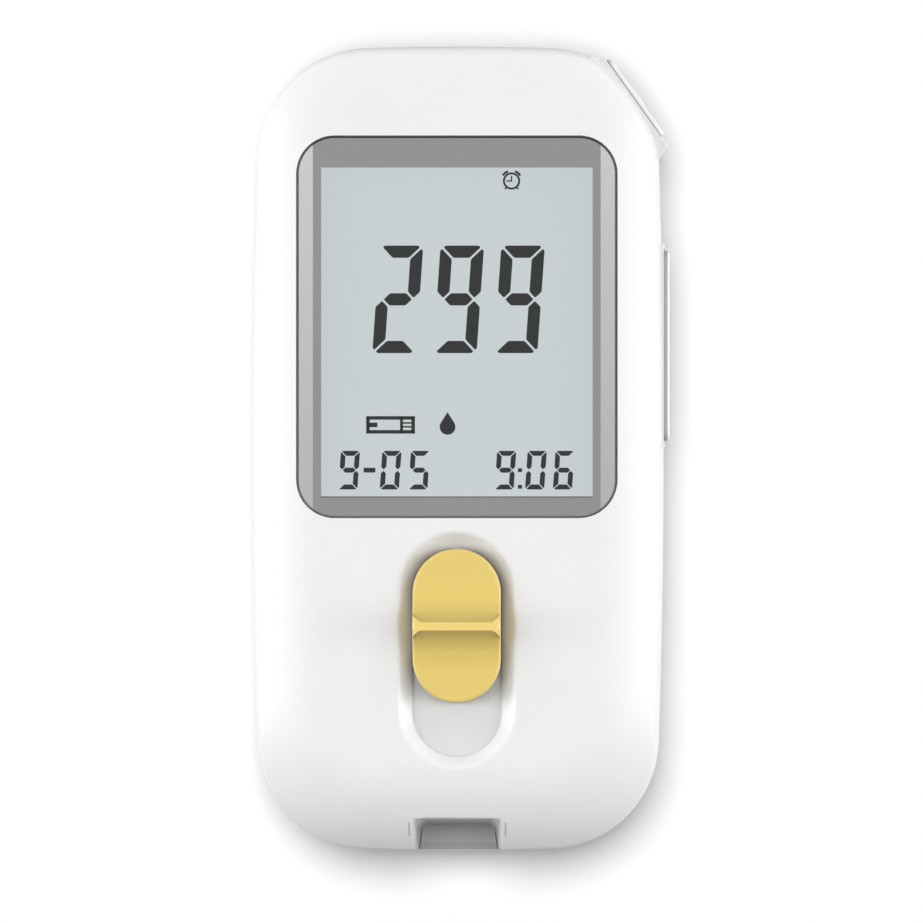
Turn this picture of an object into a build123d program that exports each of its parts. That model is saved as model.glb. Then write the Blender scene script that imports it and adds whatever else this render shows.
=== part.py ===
from build123d import *
import os
from math import atan2, cos, degrees, radians, sin, tan

# Blood glucose meter. Every size is in millimetres.
# It lies on its back: +Z points out of the display, +Y to the top end and +X to the
# long side key. The origin is the middle of the flat back.

# ---------------------------------------------------------------- body, from the front
top_margin = 11.25          # top end to the display window
window_width = 39.6
window_length = 47.2
window_corner = 4.6
window_to_button = 4.0      # window to the ejector button at rest
button_width = 11.0
button_length = 19.2
button_travel = 6.6
button_to_end = 18.35       # ejector button at rest to the lower end
side_margin = 5.56          # window to the widest part of the side
side_bow = 1092.0           # radius of the slightly bowed sides
end_bow = 300.0             # radius of the slightly bowed ends
corner_radius = 13.75

body_length = top_margin + window_length + window_to_button + button_length + button_to_end
body_half_width = window_width / 2 + side_margin
y_top = body_length / 2
y_bottom = -y_top
window_top = y_top - top_margin
window_bottom = window_top - window_length
window_y = (window_top + window_bottom) / 2
button_top = window_bottom - window_to_button
button_bottom = button_top - button_length
button_y = (button_top + button_bottom) / 2

# ---------------------------------------------------------------- shell
wall = 1.8
front_wall = 1.8
parting_z = 9.0             # joint between rear cover and front cover
rear_edge_radius = 4.0
front_edge_radius = 1.3     # crisp edge between the rolled front and the side wall
roll_radius = 13.0          # the front rolls down towards the sides and the lower end
side_roll = 8.16            # how far in from the outline each roll starts
bottom_roll = 11.0
top_roll = 3.0
roll_corner = 8.7           # corner radius of the flat part of the front
seam_chamfer = 0.2
lip_height = 1.2
lip_thickness = 0.8
lip_clearance = 0.1

# ---------------------------------------------------------------- depth, from the back up
door_thickness = 1.7
cell_gap = 0.2
cell_radius = 5.25
cell_length = 44.5
roof_gap = 0.3
roof_thickness = 1.0
board_gap = 0.6             # battery compartment to circuit board
board_thickness = 1.0
zebra_height = 2.45
glass_thickness = 0.85
ledge_gap = 0.2             # display glass to the ledge that carries the window
ledge_thickness = 0.9
tape_thickness = 0.15
lens_thickness = 1.2
lens_proud = 0.05

cell_z = door_thickness + cell_gap + cell_radius
roof_z = cell_z + cell_radius + roof_gap
board_z = roof_z + roof_thickness + board_gap
board_top = board_z + board_thickness
glass_top = board_top + zebra_height + glass_thickness
ledge_z = glass_top + ledge_gap
tape_z = ledge_z + ledge_thickness
lens_z = tape_z + tape_thickness
body_height = lens_z + lens_thickness - lens_proud
ceiling_z = body_height - front_wall

# ---------------------------------------------------------------- display
border_side = 2.9           # printed border of the window outside the visible display
border_top = 3.8
border_bottom = 2.5
lens_gap = 0.2
facet_width = 1.9           # sloping strip down each long side of the window
facet_drop = 0.4
opening_margin = 0.4        # opening in the front cover outside the visible display
tape_outset = 0.15          # adhesive beyond the window's edge
tape_inset = 0.3            # adhesive back from the opening in the front cover
glass_margin = 1.0          # glass outside the visible display
glass_ledge = 2.4           # strip of the front glass that carries the contacts
frame_wall = 0.75
frame_gap = 0.05
frame_top_gap = 0.05
frame_floor = 0.7
reflector_thickness = 0.3
zebra_width = 1.6
zebra_inset = 1.8           # zebra strip's ends inside the glass

view_half = window_width / 2 - border_side
view_top = window_top - border_top
view_bottom = window_bottom + border_bottom
glass_half = view_half + glass_margin
glass_bottom = view_bottom - glass_margin
rear_glass_top = view_top + glass_margin
front_glass_top = rear_glass_top + glass_ledge
frame_half = glass_half + frame_gap + frame_wall
frame_bottom = glass_bottom - frame_gap - frame_wall
frame_top = front_glass_top + frame_gap + frame_wall
front_glass_z = glass_top - glass_thickness
rear_glass_z = front_glass_z - glass_thickness

# ---------------------------------------------------------------- circuit board
board_inset = 0.2           # board edge inside the display frame's side
board_top_gap = 4.5         # board to the outside of the top end
board_shoulder = 15.1       # lower edge of the wide part to the outside of the lower end
tongue_half = 9.0
tongue_gap = 9.0            # end of the narrow part to the outside of the lower end
board_corner = 2.0

board_half = frame_half - board_inset
board_y_top = y_top - board_top_gap
board_y_shoulder = y_bottom + board_shoulder
board_y_bottom = y_bottom + tongue_gap

# ---------------------------------------------------------------- ejector
pocket_clearance = 0.12
pocket_depth = 2.0
pocket_floor = 1.2
pocket_wall = 1.2
rim_width = 1.62            # sloping rim round the pocket
rim_shift = 0.36            # the rim lies this far above the pocket's middle
rim_depth = 1.5             # where it meets the pocket's long sides
rim_edge = 0.8
button_gap = 0.15           # button to pocket floor
button_rise = 0.7           # flat ends of the button above the front
ridge_height = 2.4
ridge_width = 1.06
ridge_sweep = 5.2           # length of each concave ramp up to the ridge
ridge_flare = 1.6           # radius of the ramps' corners beside the ridge
ridge_flare_out = 0.1       # those corners would end this far outside the button
ridge_flare_gap = 0.03      # their faces lie this far inside the ridge's
button_edge = 0.4
stem_width = 4.4
stem_length = 4.4
stem_clearance = 0.15
carriage_gap = 0.2
carriage_thickness = 1.2
carriage_width = 12.6
carriage_length = 17.0
carriage_shift = 1.0        # the carriage's middle lies this far below the button's
finger_width = 3.0
finger_thickness = 1.4
finger_clearance = 0.3
finger_overlap = 0.5        # how far the finger reaches below the strip
arm_reach = 2.0             # arm's outer edge beyond the spring's axis
arm_thickness = 2.0
arm_drop = 3.95             # top of the carriage to the spring's arm
spring_x = 9.6
spring_radius = 1.3
spring_wire = 0.2
spring_length = 13.0
spring_turns = 9
spring_post = 0.95
spring_gap = 0.6            # springs to the inside of the front
arm_post_length = 2.5
stop_post_length = 2.0
stop_thickness = 1.5
stop_half = 1.6
micro_screw_radius = 0.8
micro_head_radius = 1.5
micro_head_height = 0.75
micro_screw_length = 3.6

pocket_half = button_width / 2 + pocket_clearance
pocket_top = button_top + pocket_clearance
pocket_bottom = button_bottom - button_travel - pocket_clearance
pocket_floor_z = body_height - pocket_depth
pocket_under_z = pocket_floor_z - pocket_floor
button_base_z = pocket_floor_z + button_gap
button_level = body_height + button_rise
ridge_z = button_level + ridge_height
carriage_top = pocket_under_z - carriage_gap
carriage_z = carriage_top - carriage_thickness
carriage_y_bottom = button_y - carriage_length / 2 - carriage_shift
carriage_y_top = carriage_y_bottom + carriage_length
spring_z = ceiling_z - spring_radius - spring_wire - spring_gap
spring_top_y = carriage_y_top - arm_drop - arm_thickness
spring_bottom_y = spring_top_y - spring_length

# ---------------------------------------------------------------- strip port
notch_width = 10.9          # at the height of the front
notch_depth = 4.1
notch_corner = 1.25
notch_draft = 5.0           # degrees, at the inner end
notch_flare = 7.7           # degrees that each side of its floor leans outwards
notch_wall = 1.5
notch_rim = 0.6
port_mark_x = 6.0           # short groove on each side of the notch
port_mark_length = 1.6
port_mark_width = 0.25
port_mark_depth = 0.18
port_mark_gap = 0.6         # groove to the notch's inner end, along Y
strip_slot_height = 1.2
guide_width = 8.8
guide_recess = 0.2
guide_lead_in = 0.8
guide_fit = 0.1
connector_width = 12.4
connector_height = 4.1
connector_floor = 1.1
connector_mouth = 1.4       # connector's outer wall, before the ejector's groove
connector_gap = 0.1         # strip guide to connector
strip_channel_width = 8.5
strip_channel_height = 1.1
contact_width = 0.5
contact_thickness = 0.2
contact_pitch = 1.1
contact_first = 2.45        # first contact from the middle
contact_slot_clearance = 0.1

connector_z = board_z - connector_height
strip_z = connector_z + connector_floor
notch_y = y_bottom + notch_depth
notch_floor_y = notch_y - (body_height - strip_z) * tan(radians(notch_draft))
finger_y_bottom = carriage_y_bottom
finger_y_top = finger_y_bottom + finger_thickness
slot_y_bottom = finger_y_bottom - button_travel - finger_clearance
slot_y_top = finger_y_top + finger_clearance
slot_half = finger_width / 2 + finger_clearance
connector_y_bottom = slot_y_bottom - connector_mouth
connector_y_top = slot_y_top
guide_y_top = connector_y_bottom - connector_gap
guide_y_bottom = y_bottom + guide_recess

# ---------------------------------------------------------------- keys on the right side
key_bottom_rise = 1.5       # parting line to the lower edge of both keys
key_height = 4.6
seat_above_key = 1.8        # top of both flat seats above the keys
key_clearance = 0.12
key_edge = 0.3

key_z_bottom = parting_z + key_bottom_rise
key_z_top = key_z_bottom + key_height
key_z = (key_z_bottom + key_z_top) / 2
seat_z_top = key_z_top + seat_above_key

corner_angle = 35.6         # direction of the corner key, degrees from +X
corner_seat_cut = 0.55      # flat seat inside the rounded corner
corner_seat_length = 13.9
corner_seat_shift = -0.45   # seat's middle from the middle of the corner
corner_seat_wall = 1.9
corner_seat_edge = 0.5
corner_seat_slope = 20.0    # degrees that the seat's ends lean outwards
corner_step_radius = 24.5   # the front steps back to this arc above the seat
corner_step_inset = 0.9
corner_step_blend = 4.0     # rounds the ends of that arc into the outline
corner_key_length = 11.5
corner_key_shift = -0.24
corner_key_proud = 0.53
corner_key_corner = 0.9
corner_key_travel = 0.4
corner_flange_length = 10.0
corner_flange_margin = 0.8
corner_flange_thickness = 0.8
corner_flange_gap = 0.05
corner_rib_length = 0.7
corner_rib_half = 1.5
switch_length = 4.7
switch_height = 3.3
switch_depth = 2.4
plunger_half = 1.1
plunger_height = 1.0
plunger_length = 1.9
plunger_reach = 1.2         # plunger out of the switch at rest
plunger_clearance = 0.08
plunger_end_gap = 0.2
corner_board_overhang = 0.5

side_key_top_gap = 25.4     # top end to the upper end of the side key
side_key_length = 23.6
side_key_proud = 0.89
side_seat_length = 25.4
side_seat_proud = 0.26
side_key_corner = 1.2
side_key_gap = 0.3
side_key_swing = 2.0        # degrees each way
side_board_thickness = 0.8
side_board_inset = 0.3      # its ends inside the ends of the key
side_board_margin = 0.1     # its edges beyond the key and below the main board's top
side_pad_thickness = 0.6
side_dome_height = 1.4
side_dome_radius = 2.0
side_dome_tip = 1.3
side_dome_offset = 8.0
side_rib_gap = 0.05
side_rib_length = 0.85
side_rib_half = 0.8
side_rib_height = 2.4
pivot_rise = 0.5            # pivot axis beyond the dome tips
pivot_boss_radius = 1.4
pivot_pin_radius = 0.8
pivot_pin_length = 1.3
pivot_clearance = 0.05
pivot_end_gap = 0.2
pivot_boss_margin = 0.6     # pivot boss above and below the key
lug_half = 1.6

side_key_y = y_top - side_key_top_gap - side_key_length / 2
side_board_x = board_half
side_pad_x = side_board_x + side_board_thickness
side_dome_x = side_pad_x + side_pad_thickness
side_board_length = side_key_length - 2 * side_board_inset
side_dome_tip_x = side_dome_x + side_dome_height
side_rib_x = side_dome_tip_x + side_rib_gap
side_cap_x = side_rib_x + side_rib_length
side_key_x = body_half_width + side_key_proud
pivot_x = side_dome_tip_x + pivot_rise
boss_z_bottom = key_z_bottom - pivot_boss_margin
boss_z_top = key_z_top + pivot_boss_margin
side_board_z_bottom = key_z_bottom - side_board_margin
side_board_z_top = board_top - side_board_margin

# ---------------------------------------------------------------- batteries
cell_pitch = 10.8
cell_nub_radius = 1.9
cell_nub_length = 1.0
cell_edge = 0.6
cell_side_gap = 0.25
compartment_wall = 1.0
end_wall = 1.2
contact_plate = 0.3
battery_spring_length = 3.9
battery_spring_turns = 3
battery_spring_wire = 0.25
battery_spring_radius = 2.9
battery_spring_tip = 2.0
plate_half = 3.6
tab_half = 1.0
tab_slot_clearance = 0.2
compartment_top_gap = 4.5   # inside of the compartment to the outside of the top end

compartment_half = cell_pitch / 2 + cell_radius + cell_side_gap
compartment_top = y_top - compartment_top_gap
compartment_bottom = (compartment_top - 2 * contact_plate - battery_spring_length
                      - cell_length)
compartment_outer = compartment_half + compartment_wall

door_clearance = 0.15
door_lip_half = 11.7        # half width of the door's outer face
door_tongue = 0.9           # tongue along each side of the door
door_lip_height = 0.8
door_overlap = 0.6          # door beyond the lower end of the compartment
door_end_height = 6.0       # how far the door turns up at the top end
door_travel = 56.0
rail_width = 1.9
rail_height = 1.0
grip_grooves = 6
grip_pitch = 1.7
grip_length = 13.0
grip_depth = 0.4
grip_from_top = 16.0        # first groove to the top end

door_y_bottom = compartment_bottom - end_wall - door_overlap
door_tongue_half = door_lip_half + door_tongue

# ---------------------------------------------------------------- screws
screw_radius = 1.0
screw_hole_clearance = 0.1
head_radius = 1.8
head_height = 1.3
head_clearance = 0.2
head_seat_z = 3.5           # screw head seats this high above the back
case_screw_length = 9.5
post_radius = 2.2
head_wall = 0.9             # wall of the rear posts round the screw heads
head_floor = 1.2            # their floor under the screw heads
pilot_margin = 0.6          # pilot hole past the screw's tip
side_post_gap = 0.1
side_post_y_gap = 19.0      # top end to the upper case screws
lower_post_x = 18.0
lower_post_y_gap = 12.0     # lower end to the lower case screws
board_screw_radius = 0.9
board_screw_length = 4.6
board_head_radius = 1.6
board_head_height = 1.2
board_post_radius = 1.9
board_screw_upper_x = 13.8
board_screw_upper_gap = 6.6
board_screw_lower_x = 15.6
board_screw_lower_gap = 4.1  # display frame to the lower board screws

side_post_x = frame_half + side_post_gap + post_radius
case_screws = [(side * x, y) for side in (-1, 1)
               for x, y in ((side_post_x, y_top - side_post_y_gap),
                            (lower_post_x, y_bottom + lower_post_y_gap))]
board_screws = [(side * x, y) for side in (-1, 1)
                for x, y in ((board_screw_upper_x, y_top - board_screw_upper_gap),
                             (board_screw_lower_x, frame_bottom - board_screw_lower_gap))]

# ---------------------------------------------------------------- parts under the board
chips_y = -23.0
microcontroller_x = 12.6
microcontroller_size = (9.6, 6.2, 1.4)     # length, width, height
microcontroller_pins = 12   # on each side
analog_x = 11.0
analog_y = -12.5
small_chip_size = (5.0, 4.0, 1.5)
small_chip_pins = 4
chip_standoff = 0.1
chip_chamfer = 0.3
pin_pitch = 0.75
pin_half = 0.15
pin_reach = 0.55
pin_thickness = 0.15
crystal_y = -11.0
crystal_radius = 1.0
crystal_length = 6.0
crystal_edge = 0.3
component_y = -15.5
component_rows = 2
component_columns = 9
component_pitch = 2.1
component_row_pitch = 2.0
component_half_length = 0.8
component_half_width = 0.4
component_height = 0.5
buzzer_x = 13.0
buzzer_radius = 4.6
buzzer_height = 2.6
buzzer_hole = 0.8
buzzer_edge = 0.4
carriage_corner = 1.0
contact_foot = 1.5
contact_nose = 1.4
contact_nose_margin = 0.4

head_rounding = 0.45        # shares of a screw head's height and radius
recess_floor = 0.45
recess_reach = 0.55
recess_width = 0.13

overshoot = 2.0             # cutting tools run this far past what they cut
touch = 0.01                # two places this close count as the same


# ================================================================ helpers
def block(x0, x1, y0, y1, z0, z1):
    """Rectangular block between two corners."""
    centre = Pos((x0 + x1) / 2, (y0 + y1) / 2, (z0 + z1) / 2)
    return centre * Box(abs(x1 - x0), abs(y1 - y0), abs(z1 - z0))


def post(x, y, radius, z0, z1):
    """Upright round post or hole."""
    return Pos(x, y, (z0 + z1) / 2) * Cylinder(radius, z1 - z0)


def slab(face, z0, z1):
    """A flat face on XY made into a solid from z0 to z1."""
    return Pos(0, 0, z0) * extrude(face, z1 - z0)


def panel(x0, x1, y0, y1, corner_r):
    """Flat rectangle with rounded corners."""
    return Pos((x0 + x1) / 2, (y0 + y1) / 2) * RectangleRounded(x1 - x0, y1 - y0, corner_r)


def stadium(y0, y1, half_width):
    """Flat shape with two straight sides and round ends, long along Y."""
    return Pos(0, (y0 + y1) / 2) * Rot(0, 0, 90) * SlotOverall(y1 - y0, 2 * half_width)


def sideways(x0, x1, y0, y1, z0, z1, corner_r):
    """Block along X with the four edges that run along X rounded."""
    face = Pos((y0 + y1) / 2, (z0 + z1) / 2) * RectangleRounded(y1 - y0, z1 - z0, corner_r)
    return Pos(x0, 0, 0) * extrude(Plane.YZ * face, x1 - x0)


def window_shape(grow):
    """Flat outline of the display window, larger all round by grow."""
    half = window_width / 2 + grow
    return panel(-half, half, window_bottom - grow, window_top + grow, window_corner + grow)


def outline(inset=0.0):
    """Flat outline of the body: bowed sides and ends with rounded corners."""
    side_shift = side_bow - body_half_width
    end_shift = end_bow - body_length / 2
    half_turn = Rot(0, 0, 180)
    face = Pos(-side_shift, 0) * half_turn * Circle(side_bow - inset)
    face &= half_turn * face
    for quarter in (90, -90):
        face &= Rot(0, 0, quarter) * Pos(-end_shift, 0) * half_turn * Circle(end_bow - inset)
    return fillet(face.vertices(), corner_radius - inset)


def corner_frame():
    """Frame at the centre of the upper right corner, its X pointing out of the corner key."""
    arcs = [edge for edge in outline().edges() if edge.radius < 2 * corner_radius]
    arc = max(arcs, key=lambda edge: edge.center().X + edge.center().Y)
    angle = radians(corner_angle)
    return Location(Plane(origin=arc.arc_center, x_dir=(cos(angle), sin(angle), 0), z_dir=(0, 0, 1)))


corner = corner_frame()
corner_seat_u = corner_radius - corner_seat_cut
corner_inner_u = corner_seat_u - corner_seat_wall
corner_flange_u = corner_inner_u - corner_flange_gap
corner_rib_u = corner_flange_u - corner_flange_thickness
plunger_tip_u = corner_rib_u - corner_rib_length
switch_face_u = plunger_tip_u - plunger_reach
switch_back_u = switch_face_u - switch_depth


def stepped_outline():
    """Outline of the body above the corner key, where the corner steps back."""
    face = outline()
    corner_ends = [Vector(*vertex) for vertex in face.vertices()]
    step = Pos(corner_radius, 0) * Rectangle(corner_radius, 2 * corner_seat_length)
    centre_u = corner_radius - corner_step_inset - corner_step_radius
    face -= corner * (step - Pos(centre_u, 0) * Circle(corner_step_radius))
    fresh = [vertex for vertex in face.vertices()
             if min((Vector(*vertex) - end).length for end in corner_ends) > seam_chamfer]
    return fillet(fresh, corner_step_blend)


def crown(inset=0.0):
    """Block with a flat top that rolls down to the sides and the lower end."""
    grow = roll_radius - inset
    half = body_half_width - side_roll + grow
    face = panel(-half, half, y_bottom + bottom_roll - grow, y_top - top_roll + grow,
                 roll_corner + grow)
    solid = extrude(face, body_height - inset)
    return fillet(solid.edges().group_by(Axis.Z)[-1], grow)


def under_front(solid):
    """Trim a post or rib so that it ends inside the front wall."""
    return solid & crown(front_wall / 2)


def edges_inside(solid, half_width, y0, y1, low_z):
    """The solid's edges within half_width of the middle, between y0 and y1 and above low_z."""
    found = []
    for edge in solid.edges():
        box = edge.bounding_box()
        if (max(-box.min.X, box.max.X) < half_width + touch and box.min.Y > y0 - touch
                and box.max.Y < y1 + touch and box.min.Z > low_z):
            found.append(edge)
    return found


def coil(start_radius, end_radius, wire, length, turns):
    """Round-wire spring that stands on the origin, along +Z."""
    rise = length - 2 * wire
    cone = degrees(atan2(end_radius - start_radius, rise))
    path = Helix(rise / turns, rise, start_radius, center=(0, 0, wire), cone_angle=cone)
    section = Plane(origin=path @ 0, z_dir=path % 0) * Circle(wire)
    return sweep(section, path=path, is_frenet=True)


def screw(x, y, radius, length, head_r, head_h, seat_z):
    """Pan-head screw pointing up, its head under seat_z, with a cross recess."""
    head = fillet(post(0, 0, head_r, seat_z - head_h, seat_z).edges().group_by(Axis.Z)[0],
                  head_h * head_rounding)
    recess = block(-head_r * recess_reach, head_r * recess_reach, -head_r * recess_width,
                   head_r * recess_width, seat_z - head_h - overshoot,
                   seat_z - head_h * recess_floor)
    solid = head + post(0, 0, radius, seat_z, seat_z + length) - recess
    return Pos(x, y) * (solid - Rot(0, 0, 90) * recess)


def group(solids):
    """Several separate solids of one kind as one node."""
    return Compound(children=[solid.solid() for solid in solids])


# ================================================================ front cover
def lip_gaps():
    """Where the covers have no interlocking lip: the strip port and both keys."""
    port_half = notch_width / 2 + 2 * notch_wall
    gaps = block(-port_half, port_half, y_bottom - overshoot, notch_y + 2 * notch_wall,
                 0, body_height)
    gaps += corner * block(0, 2 * corner_radius, -corner_seat_length / 2 - overshoot,
                           corner_seat_length / 2 + overshoot, 0, body_height)
    reach = side_seat_length / 2 + overshoot
    return gaps + block(body_half_width / 2, 2 * body_half_width, side_key_y - reach,
                        side_key_y + reach, 0, body_height)


def rolled_blank():
    """The front cover's outside before anything is cut."""
    blank = slab(outline(), parting_z, seat_z_top)
    blank += slab(stepped_outline(), seat_z_top, body_height)
    blank &= crown()
    blank = fillet(blank.edges().filter_by(GeomType.BSPLINE), front_edge_radius)
    return chamfer(blank.edges().group_by(Axis.Z)[0], seam_chamfer)


def key_seats():
    """Flat raised seats in the side wall for the corner key and the side key."""
    half = corner_seat_length / 2
    root = half + corner_seat_u * tan(radians(corner_seat_slope))
    seat = make_face(Polyline((0, -root), (corner_seat_u, -half), (corner_seat_u, half), (0, root),
                              close=True))
    seat = fillet(seat.vertices().group_by(Axis.X)[-1], corner_seat_edge)
    seats = corner * slab(Pos(0, corner_seat_shift) * seat, parting_z, seat_z_top)
    inside = body_half_width - wall
    side = block(inside, body_half_width + side_seat_proud, side_key_y - side_seat_length / 2,
                 side_key_y + side_seat_length / 2, parting_z, seat_z_top)
    upright = side.edges().filter_by(Axis.Z).group_by(Axis.X)[-1]
    return seats + chamfer(upright, side_seat_proud / 2)


def front_cavity():
    """The hollow inside the front cover, flat behind the corner key."""
    cavity = slab(outline(wall), parting_z - overshoot, body_height) & crown(front_wall)
    cavity -= corner * block(corner_inner_u, 2 * corner_radius, -corner_radius, corner_radius,
                             0, body_height)
    step = slab(outline(wall - lip_thickness - lip_clearance), parting_z - overshoot,
                parting_z + lip_height + lip_clearance)
    return cavity + (step - lip_gaps())


def slider_pocket():
    """Cut for the ejector button: pocket, sloping rim and slot for the button's stem."""
    pocket = slab(stadium(pocket_bottom, pocket_top, pocket_half), pocket_floor_z, body_height)
    outer = stadium(pocket_bottom - rim_width + rim_shift, pocket_top + rim_width + rim_shift,
                    pocket_half + rim_width)
    depth = rim_depth * (rim_width + rim_shift) / rim_width
    rim = Pos(0, 0, body_height) * extrude(outer, depth, dir=(0, 0, -1),
                                           taper=degrees(atan2(rim_width, rim_depth)))
    reach = stem_length / 2 + stem_clearance
    slot = block(-stem_width / 2 - stem_clearance, stem_width / 2 + stem_clearance,
                 button_y - reach - button_travel, button_y + reach,
                 pocket_under_z - overshoot, body_height)
    return pocket + rim + slot


def guide_outline(grow, y_end):
    """Flat outline of the strip guide, larger by grow: it widens towards the lower end."""
    half = guide_width / 2 + grow
    spread = half + (notch_floor_y - y_end) * tan(radians(notch_flare))
    right = [(half, guide_y_top + grow), (half, notch_floor_y), (spread, y_end)]
    return make_face(Polyline(*right, *[(-x, y) for x, y in reversed(right)], close=True))


def port_face(half, inner_y, y_end, flare, z):
    """Section of the strip port at this height, its two inner corners rounded."""
    spread = half + (inner_y - y_end) * tan(radians(flare))
    face = make_face(Polyline((half, inner_y), (-half, inner_y), (-spread, y_end), (spread, y_end),
                              close=True))
    return Pos(0, 0, z) * fillet(face.vertices().group_by(Axis.Y)[-1], notch_corner)


def port_notch():
    """Cut for the strip port in the lower end: drafted notch, the guide's seat, the strip's slot."""
    far = y_bottom - notch_depth
    half = guide_width / 2 + guide_fit
    notch = loft([port_face(half, notch_floor_y, far, notch_flare, strip_z),
                  port_face(notch_width / 2, notch_y, far, 0, body_height)], ruled=True)
    seat = slab(guide_outline(guide_fit, far), parting_z - overshoot, strip_z)
    return notch + seat + block(-half, half, notch_floor_y - notch_corner, notch_y + 2 * notch_wall,
                                parting_z, strip_z + strip_slot_height)


def port_marks():
    """Short grooves in the front beside the strip port."""
    y = notch_y - port_mark_gap
    mark = block(port_mark_x - port_mark_width / 2, port_mark_x + port_mark_width / 2,
                 y - port_mark_length, y, parting_z, body_height) - crown(port_mark_depth)
    return mark + mirror(mark, about=Plane.YZ)


def front_cover():
    """Front half of the case: rolled shell with window recess, slider pocket and key seats."""
    cover = rolled_blank() + key_seats()
    cover -= corner * block(corner_seat_u, 2 * corner_radius, -corner_seat_length / 2,
                            corner_seat_length / 2, parting_z - overshoot, seat_z_top)
    cover -= front_cavity()

    cover += slab(window_shape(lens_gap + ledge_thickness), ledge_z, ceiling_z + front_wall / 2)
    cover += slab(stadium(pocket_bottom - pocket_wall, pocket_top + pocket_wall,
                          pocket_half + pocket_wall), pocket_under_z, ceiling_z + front_wall / 2)
    port_half = notch_width / 2 + notch_wall
    inside = block(-port_half, port_half, y_bottom + wall / 2, notch_y + notch_wall,
                   parting_z, body_height)
    for side in (-1, 1):
        stop = block(side * (spring_x - stop_half), side * (spring_x + stop_half),
                     spring_bottom_y - stop_thickness, spring_bottom_y,
                     spring_z - spring_radius, body_height)
        inside += stop
    for x, y in case_screws:
        inside += post(x, y, post_radius, parting_z, body_height)
    for x, y in board_screws:
        inside += post(x, y, board_post_radius, board_top, body_height)
    inside += block(pivot_x - lug_half, body_half_width - wall / 2, side_key_y - lug_half,
                    side_key_y + lug_half, boss_z_top + pivot_end_gap, body_height)
    cover += under_front(inside)
    for side in (-1, 1):
        pin = Pos(side * spring_x, spring_bottom_y, spring_z) * Rot(-90, 0, 0)
        cover += pin * post(0, 0, spring_post, 0, stop_post_length)

    for x, y in case_screws:
        cover -= post(x, y, screw_radius, parting_z - overshoot,
                      head_seat_z + case_screw_length + pilot_margin)
    for x, y in board_screws:
        cover -= post(x, y, board_screw_radius, board_top - overshoot,
                      board_z + board_screw_length + pilot_margin)
    cover -= post(pivot_x, side_key_y, pivot_pin_radius + pivot_clearance, boss_z_top,
                  boss_z_top + pivot_pin_length + 2 * pivot_end_gap)
    cover -= slab(window_shape(lens_gap), tape_z, body_height)
    cover -= slab(panel(-view_half - opening_margin, view_half + opening_margin,
                        view_bottom - opening_margin, view_top + opening_margin, 2 * opening_margin),
                  ledge_z - overshoot, body_height)
    cover -= slider_pocket()
    cover = fillet(edges_inside(cover, pocket_half + rim_width, pocket_bottom - rim_width,
                                pocket_top + 2 * rim_width, body_height - rim_depth / 4), rim_edge)
    cover -= port_notch()
    cover = fillet(edges_inside(cover, notch_width / 2, y_bottom, notch_y,
                                strip_z + strip_slot_height + touch), notch_rim)
    cover -= port_marks()

    reach = side_key_length / 2 + side_key_gap
    cover -= sideways(side_cap_x - overshoot, body_half_width + overshoot, side_key_y - reach,
                      side_key_y + reach, key_z_bottom - key_clearance,
                      key_z_top + key_clearance, side_key_corner)
    reach = corner_key_length / 2 + key_clearance
    cover -= corner * sideways(corner_rib_u, corner_seat_u + overshoot, corner_key_shift - reach,
                               corner_key_shift + reach, key_z_bottom - key_clearance,
                               key_z_top + key_clearance, corner_key_corner)
    margin = corner_flange_margin + key_clearance
    cover -= corner * block(corner_rib_u - overshoot, corner_inner_u, corner_key_shift - reach,
                            corner_key_shift + reach, parting_z - overshoot, key_z_top + margin)
    return cover


# ================================================================ rear cover and door
def rear_blank():
    """The rear cover's outside before anything is cut."""
    blank = slab(outline(), 0, parting_z)
    blank = fillet(blank.edges().group_by(Axis.Z)[0], rear_edge_radius)
    return chamfer(blank.edges().group_by(Axis.Z)[-1], seam_chamfer)


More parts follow.
